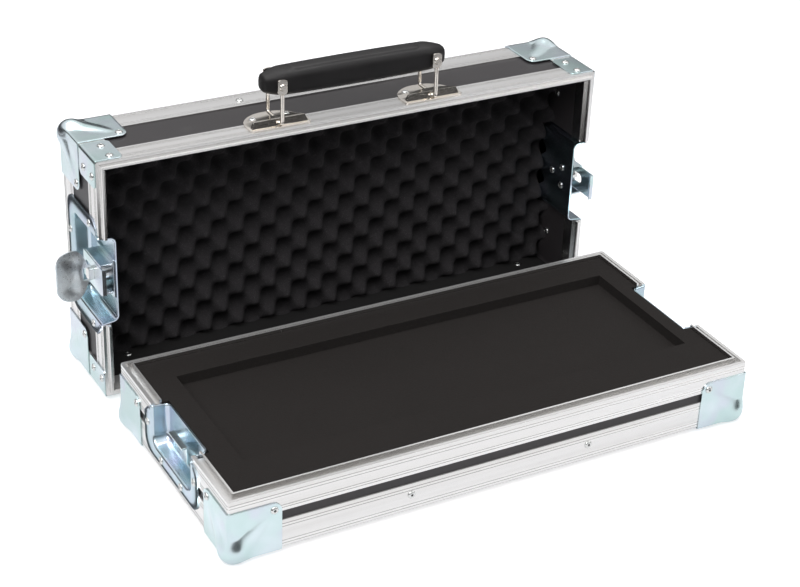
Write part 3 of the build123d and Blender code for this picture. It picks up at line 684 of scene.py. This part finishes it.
leathercloth = Finish("grip_leathercloth", Specular_IOR_Level=0.35)
pores = leathercloth.node("ShaderNodeTexVoronoi", {"feature": "DISTANCE_TO_EDGE"},
                          {"Vector": leathercloth.spot, "Scale": 900.0})
creases = leathercloth.noise(leathercloth.spot.vector("MULTIPLY", (260, 700, 700)), 1, 4)
worn = leathercloth.noise(leathercloth.spot, 60, 3)
leathercloth.feed(Base_Color=leathercloth.blend(worn, (0.0048, 0.0042, 0.0045), (0.0105, 0.0092, 0.0098)),
                  Roughness=leathercloth.between(worn, 0.3, 0.7, 0.40, 0.54))
leathercloth.bump(leathercloth.between(pores, 0.0, 0.25) * 0.6 + creases * 0.4, 0.0002, 0.5)

grip_low, grip_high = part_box("handle_grip")
grip_middle = (grip_low + grip_high) / 2
grip_half = 101.2
grip_half_width = 14.3
grip_half_height = 12.6
grip_crown = 1.2
grip_taper_start = 79.0
tip_half_width = 6.5
tip_half_height = 7.3
seam_half_length = 70.0
seam_half_width = 8.6
seam_round = 5.0


def grip_size(x):
    """Half width and half height of the grip at a distance from its middle."""
    along = min(max((abs(x) - grip_taper_start) / (grip_half - grip_taper_start), 0), 1)
    ease = along ** 1.35
    tip = math.sqrt(max(1 - max((abs(x) - (grip_half - 4)) / 4, 0) ** 2, 0.0004))
    wide = (grip_half_width + (tip_half_width - grip_half_width) * ease) * tip
    high = (grip_half_height + (tip_half_height - grip_half_height) * along ** 1.6) * tip
    return wide, high + grip_crown * math.cos(math.pi * x / 2 / grip_half) * (1 - along)


def seam_distance(x, y):
    """Signed distance to the seam's rounded rectangle."""
    dx = abs(x) - seam_half_length + seam_round
    dy = abs(y) - seam_half_width + seam_round
    return math.hypot(max(dx, 0), max(dy, 0)) + min(max(dx, dy), 0) - seam_round


def grip_point(x, angle):
    wide, high = grip_size(x)
    c, s = math.cos(angle), math.sin(angle)
    squareness = 2 / 3.2
    y = wide * math.copysign(abs(c) ** squareness, c)
    z = high * math.copysign(abs(s) ** squareness, s)
    if s > 0.2:
        gap = seam_distance(x, y)
        z -= 0.75 * math.exp(-(gap / 0.9) ** 2)
        z += 0.55 / (1 + math.exp(gap / 0.8))
    return (x, y, z)


tip = 5.0
stations = np.concatenate([np.linspace(-grip_half, -grip_half + tip, 9)[:-1],
                           np.linspace(-grip_half + tip, grip_half - tip, 150),
                           np.linspace(grip_half - tip, grip_half, 9)[1:]])
turns = 112
points = [grip_point(x, 2 * math.pi * k / turns) for x in stations for k in range(turns)]
faces = [(i * turns + k, (i + 1) * turns + k, (i + 1) * turns + (k + 1) % turns, i * turns + (k + 1) % turns)
         for i in range(len(stations) - 1) for k in range(turns)]
faces += [tuple(range(turns)), tuple(reversed(range((len(stations) - 1) * turns, len(stations) * turns)))]
grip = mesh_piece("handle_grip_cover", np.array(points) * MM + np.array(grip_middle), faces, leathercloth, 75)
face_outward(grip)
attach(grip, "handle_grip")
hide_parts("handle_grip")


class Recipe(Graph):
    """Geometry nodes with named inputs, run once on an object and kept as a plain mesh."""

    def __init__(self, name, **inputs):
        super().__init__(bpy.data.node_groups.new(name, "GeometryNodeTree"))
        face = self.tree.interface
        face.new_socket("Geometry", in_out="INPUT", socket_type="NodeSocketGeometry")
        self.values = inputs
        kinds = {bpy.types.Material: "NodeSocketMaterial", bpy.types.Object: "NodeSocketObject",
                 float: "NodeSocketFloat", int: "NodeSocketInt"}
        for label, value in inputs.items():
            face.new_socket(label, in_out="INPUT", socket_type=kinds[type(value)])
        face.new_socket("Geometry", in_out="OUTPUT", socket_type="NodeSocketGeometry")
        self.group_input = self.tree.nodes.new("NodeGroupInput")

    def given(self, label):
        return Wire(self, self.group_input.outputs[label])

    def dress(self, shape, label, smooth=True):
        """Realized instances in one of the given materials."""
        shape = self.node("GeometryNodeRealizeInstances", {}, {"Geometry": shape})
        if smooth:
            shape = self.node("GeometryNodeSetShadeSmooth", {}, {"Geometry": shape})
        return self.node("GeometryNodeSetMaterial", {}, {"Geometry": shape, "Material": self.given(label)})

    def facing(self, label):
        """The turn that points z along the direction that each mark carries."""
        way = self.node("GeometryNodeInputNamedAttribute", {"data_type": "FLOAT_VECTOR"}, {"Name": label})
        return self.node("FunctionNodeAlignEulerToVector", {"axis": "Z"}, {"Vector": way})

    def make(self, shape, source, name):
        """Applies the tree to a source object and returns the result as a new object."""
        finished = self.tree.nodes.new("NodeGroupOutput")
        self.tree.links.new(shape.socket, finished.inputs[0])
        step = source.modifiers.new("recipe", "NODES")
        step.node_group = self.tree
        for item in self.tree.interface.items_tree:
            if item.in_out == "INPUT" and item.name in self.values:
                step[item.identifier] = self.values[item.name]
        bpy.context.view_layer.update()
        result = bpy.data.meshes.new_from_object(source.evaluated_get(bpy.context.evaluated_depsgraph_get()))
        result.name = name
        source.modifiers.remove(step)
        bpy.data.objects.remove(source)
        piece = bpy.data.objects.new(name, result)
        bpy.context.scene.collection.objects.link(piece)
        return piece


def marks(name, places, directions, label):
    """Loose points that each carry a direction, for a recipe to work on."""
    data = bpy.data.meshes.new(name)
    data.from_pydata([tuple(p) for p in places], [], [])
    held = data.attributes.new(label, "FLOAT_VECTOR", "POINT")
    held.data.foreach_set("vector", np.array(directions, dtype=np.float32).ravel())
    holder = bpy.data.objects.new(name, data)
    bpy.context.scene.collection.objects.link(holder)
    return holder


thread = Finish("grip_thread", Specular_IOR_Level=0.4, Roughness=0.55)
twist = thread.noise(thread.spot, 1800, 2)
thread.feed(Base_Color=thread.blend(twist, (0.008, 0.008, 0.009), (0.03, 0.029, 0.03)))
thread.bump(twist, 0.0001, 0.6)
stitch_pitch = 4.2
places, directions = [], []
corner_start = seam_half_length - seam_round
for side in (-1, 1):
    for x in np.arange(-corner_start + stitch_pitch / 2, corner_start, stitch_pitch):
        wide, high = grip_size(x)
        y = side * seam_half_width
        s = (1 - abs(y / wide) ** 3.2) ** (1 / 3.2)
        places.append((x, y, high * s - 0.55))
        directions.append((1, 0, 0))
stitches = Recipe("stitches", Length=2.9, Thickness=0.42, Thread=thread.material)
body = stitches.node("GeometryNodeMeshCylinder", {"fill_type": "TRIANGLE_FAN"},
                     {"Vertices": 8, "Side Segments": 4, "Radius": stitches.given("Thickness"),
                      "Depth": stitches.given("Length")})
spot = stitches.node("GeometryNodeInputPosition", {}, {})
share = spot.part("Z") / stitches.given("Length") * 2.0
pinch = 1.0 - share * share * 0.75
turned = stitches.node("GeometryNodeTransform", {}, {"Geometry": stitches.node(
    "GeometryNodeSetPosition", {}, {"Geometry": body, "Position": spot.vector(
        "MULTIPLY", stitches.node("ShaderNodeCombineXYZ", {}, {0: pinch, 1: pinch, 2: 1.0}))})})
sewn = stitches.node("GeometryNodeInstanceOnPoints", {}, {
    "Points": stitches.node("GeometryNodeMeshToPoints", {}, {"Mesh": stitches.given("Geometry")}),
    "Instance": turned, "Rotation": stitches.facing("along"), "Scale": (MM, MM, MM)})
stitch_places = np.array(places) * MM + np.array(grip_middle)
row = stitches.make(stitches.dress(sewn, "Thread"),
                    marks("stitch_marks", stitch_places, directions, "along"), "handle_grip_stitches")
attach(row, "handle_grip")


# ---- Tray foam ---------------------------------------------------------------------------------
# Fine foam that fills the tray round the dishes, with a shallow bed sawn into it for the pedals.
# The sawn walls show more of the cells; the top lies just below the rim.
block_foam = Finish("tray_foam_cells", Specular_IOR_Level=0.25)
cells = block_foam.node("ShaderNodeTexVoronoi", {}, {"Vector": block_foam.spot, "Scale": 620.0})
speckle = block_foam.noise(block_foam.spot, 1500, 3, 0.7)
drift = block_foam.noise(block_foam.spot, 9, 3)
upward = block_foam.node("ShaderNodeNewGeometry", {}, {}, out="Normal").part("Z")
sawn = block_foam.between(upward, 0.45, 0.8, 1.0, 0.0)
fleck = block_foam.between(speckle, 0.60, 0.72)
tone = block_foam.blend(drift, (0.0105, 0.0086, 0.0078), (0.0150, 0.0124, 0.0114))
tone = block_foam.blend(fleck * (0.30 + sawn * 0.4), tone, (0.080, 0.073, 0.069))
tone = block_foam.blend(block_foam.between(cells, 0.0, 0.35, 0.55, 0.0), tone, (0.004, 0.0035, 0.003))
block_foam.feed(Base_Color=tone, Roughness=block_foam.between(speckle, 0.3, 0.7, 0.82, 0.95))
block_foam.bump(block_foam.between(cells, 0.0, 0.5) * 0.7 + speckle * 0.5, 0.0005, 0.7)

foam_low, foam_high = (np.array(corner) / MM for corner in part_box("tray_foam"))
tray_low_x, tray_high_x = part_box("tray_left_edge")[0].x / MM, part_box("tray_right_edge")[1].x / MM
tray_low_y, tray_high_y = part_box("tray_front_edge")[0].y / MM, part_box("tray_rear_edge")[1].y / MM
bed_low = np.array([tray_low_x + 40.0, tray_low_y + 57.0])
bed_high = np.array([tray_high_x - 33.0, tray_high_y - 44.0])
bed_depth = 10.0
notch_half = 47.05
notch_reach = 17.5
lip = (-1.6, -1.0, -0.55, -0.2, 0.15, 0.45, 0.8, 1.3)


def grid_lines(low, high, steps_at, pitch):
    """Grid lines between two bounds, crowded where the surface steps."""
    crowded = [s + d for s in steps_at for d in lip]
    plain = [v for v in np.linspace(low, high, int((high - low) / pitch) + 1)
             if all(abs(v - s) > 2.0 for s in steps_at) or v in (low, high)]
    return np.array(sorted(set(plain + crowded)))


def foam_wave(x, y, seed):
    """Slow unevenness of a foam's face, in millimetres."""
    return (math.sin(x / 31 + seed) * math.sin(y / 23 + 2 * seed) * 0.18
            + math.sin(x / 11 + y / 17 + seed) * 0.07 + math.sin(x / 5.3 - y / 6.1) * 0.035)


def tray_foam_top(x, y):
    outside = max(bed_low[0] - x, x - bed_high[0], bed_low[1] - y, y - bed_high[1])
    sunk = min(max(0.5 - outside / 0.9, 0), 1)
    sunk = sunk * sunk * (3 - 2 * sunk)
    return foam_high[2] - 0.25 - bed_depth * sunk + foam_wave(x, y, 1.0) * (0.6 + 0.4 * sunk)


tray_middle_y = (tray_low_y + tray_high_y) / 2
grid_pitch = 4.0
xs = grid_lines(foam_low[0], foam_high[0],
                (bed_low[0], bed_high[0], tray_low_x + notch_reach, tray_high_x - notch_reach), grid_pitch)
ys = grid_lines(foam_low[1], foam_high[1],
                (bed_low[1], bed_high[1], tray_middle_y - notch_half, tray_middle_y + notch_half), grid_pitch)


def foam_block(name, xs, ys, top_of, bottom, clamp, finish):
    """Closed block from a grid of heights; clamp moves a point out of the notches."""
    nx, ny = len(xs), len(ys)
    top = [(*clamp(x, y), top_of(x, y)) for x in xs for y in ys]
    under = [(*clamp(x, y), bottom) for x in xs for y in ys]
    points = top + under
    shift = nx * ny
    faces = []
    for i in range(nx - 1):
        for j in range(ny - 1):
            a, b, c, d = i * ny + j, (i + 1) * ny + j, (i + 1) * ny + j + 1, i * ny + j + 1
            faces += [(a, b, c, d), (shift + d, shift + c, shift + b, shift + a)]
    border = ([i * ny for i in range(nx)] + [(nx - 1) * ny + j for j in range(1, ny)]
              + [i * ny + ny - 1 for i in range(nx - 2, -1, -1)] + [j for j in range(ny - 2, 0, -1)])
    faces += [(here, shift + here, shift + after, after)
              for here, after in zip(border, border[1:] + border[:1])]
    return mesh_piece(name, np.array(points) * MM, faces, finish, 50)


def clear_of_dishes(x, y):
    if abs(y - tray_middle_y) < notch_half:
        x = min(max(x, tray_low_x + notch_reach), tray_high_x - notch_reach)
    return x, y


tray_foam = foam_block("tray_foam_block", xs, ys, tray_foam_top, foam_low[2], clear_of_dishes, block_foam)
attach(tray_foam, "tray")
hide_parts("tray_foam")


# ---- Egg-crate foam ----------------------------------------------------------------------------
# Convoluted open-cell foam glued to the lid's back panel. Rows of rounded peaks and hollows are
# staggered by half a pitch, so that the rows overlap like scales when they are seen from above.
crate_foam = Finish("egg_crate_cells", Specular_IOR_Level=0.25)
cells = crate_foam.node("ShaderNodeTexVoronoi", {}, {"Vector": crate_foam.spot, "Scale": 520.0})
speckle = crate_foam.noise(crate_foam.spot, 1300, 3, 0.7)
drift = crate_foam.noise(crate_foam.spot, 12, 3)
# Depth into the foam towards the back panel, used below to paint shade into the hollows.
depth = (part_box("lid_back_panel")[0].y - crate_foam.spot.part("Y")) / 0.038
tone = crate_foam.blend(drift, (0.020, 0.0182, 0.0196), (0.030, 0.0272, 0.0290))
# Light specks: painted glints of the foam's cell walls catching the light.
tone = crate_foam.blend(crate_foam.between(speckle, 0.58, 0.70) * 0.55, tone, (0.16, 0.152, 0.158))
tone = crate_foam.blend(crate_foam.between(cells, 0.0, 0.35, 0.5, 0.0), tone, (0.004, 0.004, 0.0045))
# Painted shade: the hollows near the back panel are darkened to near black.
tone = crate_foam.blend(crate_foam.between(depth, 0.35, 0.75, 0.75, 0.0), tone, (0.004, 0.004, 0.0042))
crate_foam.feed(Base_Color=tone, Roughness=crate_foam.between(speckle, 0.3, 0.7, 0.85, 0.97))
crate_foam.bump(crate_foam.between(cells, 0.0, 0.5) * 0.7 + speckle * 0.5, 0.0006, 0.8)

crate_low, crate_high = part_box("lid_foam")
crate_size = crate_high - crate_low
crate_middle = (crate_low + crate_high) / 2
crate_pitch = 0.036
crate_base = 0.016
crate_height = 0.022
recipe = Recipe("egg_crate", Length=crate_size.x, Breadth=crate_size.z, Pitch=crate_pitch, Base=crate_base,
                Height=crate_height, NotchX=crate_size.x / 2 - (notch_reach - 8.8) * MM,
                NotchZ=notch_half * MM, Foam=crate_foam.material)
slab_size = recipe.node("ShaderNodeCombineXYZ", {}, {
    0: recipe.given("Length"), 1: recipe.given("Breadth"), 2: 1.0})
slab = recipe.node("GeometryNodeMeshCube", {}, {
    "Size": slab_size, "Vertices X": 251, "Vertices Y": 113, "Vertices Z": 2})
spot = recipe.node("GeometryNodeInputPosition", {}, {})
x, y, z = (spot.part(axis) for axis in "XYZ")
phase_x = x / recipe.given("Pitch") * (2 * math.pi)
phase_y = y / recipe.given("Pitch") * (2 * math.pi)
wave = recipe.math("COSINE", phase_x) * recipe.math("COSINE", phase_y) * 0.5 + 0.5
swell = wave ** 1.15
ripple = recipe.node("ShaderNodeTexNoise", {}, {"Vector": spot, "Scale": 26.0, "Detail": 2.0}) - 0.5
rise = recipe.given("Base") + recipe.given("Height") * swell + ripple * 0.002
level = (z > 0.0) * rise
within = recipe.math("ABSOLUTE", y) < recipe.given("NotchZ")
limit = recipe.given("NotchX") + (1.0 - within)
held_x = recipe.math("MAXIMUM", recipe.math("MINIMUM", x, limit), limit * -1.0)
placed = recipe.node("ShaderNodeCombineXYZ", {}, {
    0: held_x + crate_middle.x, 1: crate_high.y - level, 2: y + crate_middle.z})
shaped = recipe.node("GeometryNodeSetPosition", {}, {"Geometry": slab, "Position": placed})
merged = recipe.node("GeometryNodeMergeByDistance", {}, {"Geometry": shaped, "Distance": 0.0001})
crate = recipe.make(recipe.dress(merged, "Foam"),
                    marks("crate_mark", [(0, 0, 0)], [(0, 0, 1)], "along"), "lid_foam_egg_crate")
face_outward(crate)
crate.data.set_sharp_from_angle(angle=math.radians(65))
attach(crate, "lid")
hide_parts("lid_foam")


# ---- Rivets ------------------------------------------------------------------------------------
# Pop rivets of plated steel: a low domed head with the small hole that the mandrel leaves. The
# same shape stands for the rivets' ends where they show inside the lid.
rivet_steel = Finish("rivet_heads", Metallic=1.0)
grain = rivet_steel.noise(rivet_steel.spot, 700, 3)
# The mandrel hole's colour is near black and its surface rougher: painted shade inside the hole.
hole = rivet_steel.node("ShaderNodeAttribute", {"attribute_name": "hole"}, {}, out="Fac")
plain = rivet_steel.blend(grain, (0.62, 0.63, 0.62), (0.78, 0.785, 0.775))
rivet_steel.feed(Base_Color=rivet_steel.blend(hole, plain, (0.05, 0.045, 0.04)),
                 Roughness=rivet_steel.between(grain, 0.3, 0.7, 0.20, 0.32) + hole * 0.4)
head_profile = [(3.8, 0.0), (3.8, 0.35), (3.5, 0.85), (2.9, 1.3), (2.1, 1.55), (1.5, 1.6), (1.25, 1.5),
                (1.15, 1.2), (1.1, 0.5), (0.0, 0.45)]
segments = 20
points = [(r * math.cos(2 * math.pi * k / segments), r * math.sin(2 * math.pi * k / segments), h)
          for r, h in head_profile for k in range(segments)]
faces = [(i * segments + k, i * segments + (k + 1) % segments, (i + 1) * segments + (k + 1) % segments,
          (i + 1) * segments + k) for i in range(len(head_profile) - 1) for k in range(segments)]
faces.append(tuple(range(segments))[::-1])
head = mesh_piece("rivet_head", points, faces, rivet_steel, 60)
# Marks the hole's points for that painted shade.
deep = head.data.attributes.new("hole", "FLOAT", "POINT")
for vertex in head.data.vertices:
    deep.data[vertex.index].value = 1.0 if math.hypot(vertex.co.x, vertex.co.y) < 1.2 else 0.0


def rivet_seats(name):
    """Middle of the seat of each head in a node, and the way that it faces."""
    tidy = bmesh.new()
    tidy.from_mesh(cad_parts[name].data)
    bmesh.ops.remove_doubles(tidy, verts=tidy.verts, dist=2e-6)
    left, seats, ways = set(tidy.verts), [], []
    while left:
        island, edge = set(), [left.pop()]
        while edge:
            vertex = edge.pop()
            island.add(vertex)
            for link in vertex.link_edges:
                other = link.other_vert(vertex)
                if other in left:
                    left.discard(other)
                    edge.append(other)
        spots = np.array([v.co[:] for v in island])
        low, high = spots.min(0), spots.max(0)
        axis = int(np.argmin(high - low))
        middle = (low + high) / 2
        rest = [i for i in range(3) if i != axis]
        reach = np.linalg.norm(spots[:, rest] - middle[rest], axis=1)
        at_low = reach[spots[:, axis] < middle[axis]].max()
        at_high = reach[spots[:, axis] > middle[axis]].max()
        way = np.zeros(3)
        way[axis] = 1 if at_low > at_high else -1
        seat = middle.copy()
        seat[axis] = low[axis] if way[axis] > 0 else high[axis]
        seats.append(seat)
        ways.append(way)
    tidy.free()
    order = sorted(range(len(seats)), key=lambda i: tuple(np.round(seats[i], 4)))
    return [seats[i] for i in order], [ways[i] for i in order]


def inner_ends(seats, ways):
    """The lid's corner and latch rivets, as their ends show inside the lid."""
    through = 0.0097
    deep = opening_middle["lid"].y + 0.025
    pairs = [(seat - way * through, -way) for seat, way in zip(seats, ways)
             if seat[1] > deep and seat[1] < deep + 0.035 and abs(way[1]) < 0.5]
    for end in ("left", "right"):
        low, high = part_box(f"latch_base_{end}")
        side = 1 if end == "right" else -1
        floor = (low.x if side > 0 else high.x) - side * 0.0012
        middle = (low + high) / 2
        pairs += [(np.array([floor, middle.y + y, middle.z + z]), np.array([-side, 0.0, 0.0]))
                  for y, z in ((0.014, 0.0), (-0.0045, 0.0105), (-0.0045, -0.0105))]
    return [seat for seat, way in pairs], [way for seat, way in pairs]


for half in ("tray", "lid"):
    seats, ways = rivet_seats(f"{half}_rivets")
    if half == "lid":
        seats, ways = (outer + inner for outer, inner in zip((seats, ways), inner_ends(seats, ways)))
    riveting = Recipe(f"{half}_riveting", Head=head, Size=MM, Steel=rivet_steel.material)
    shape = riveting.node("GeometryNodeObjectInfo", {}, {"Object": riveting.given("Head")}, out="Geometry")
    set_in = riveting.node("GeometryNodeInstanceOnPoints", {}, {
        "Points": riveting.node("GeometryNodeMeshToPoints", {}, {"Mesh": riveting.given("Geometry")}),
        "Instance": shape, "Rotation": riveting.facing("outward"),
        "Scale": riveting.node("ShaderNodeCombineXYZ", {}, dict(enumerate([riveting.given("Size")] * 3)))})
    heads = riveting.make(riveting.dress(set_in, "Steel", smooth=False),
                          marks(f"{half}_rivet_marks", seats, ways, "outward"), f"{half}_rivet_heads")
    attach(heads, half)
    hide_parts(f"{half}_rivets")
bpy.data.objects.remove(head)
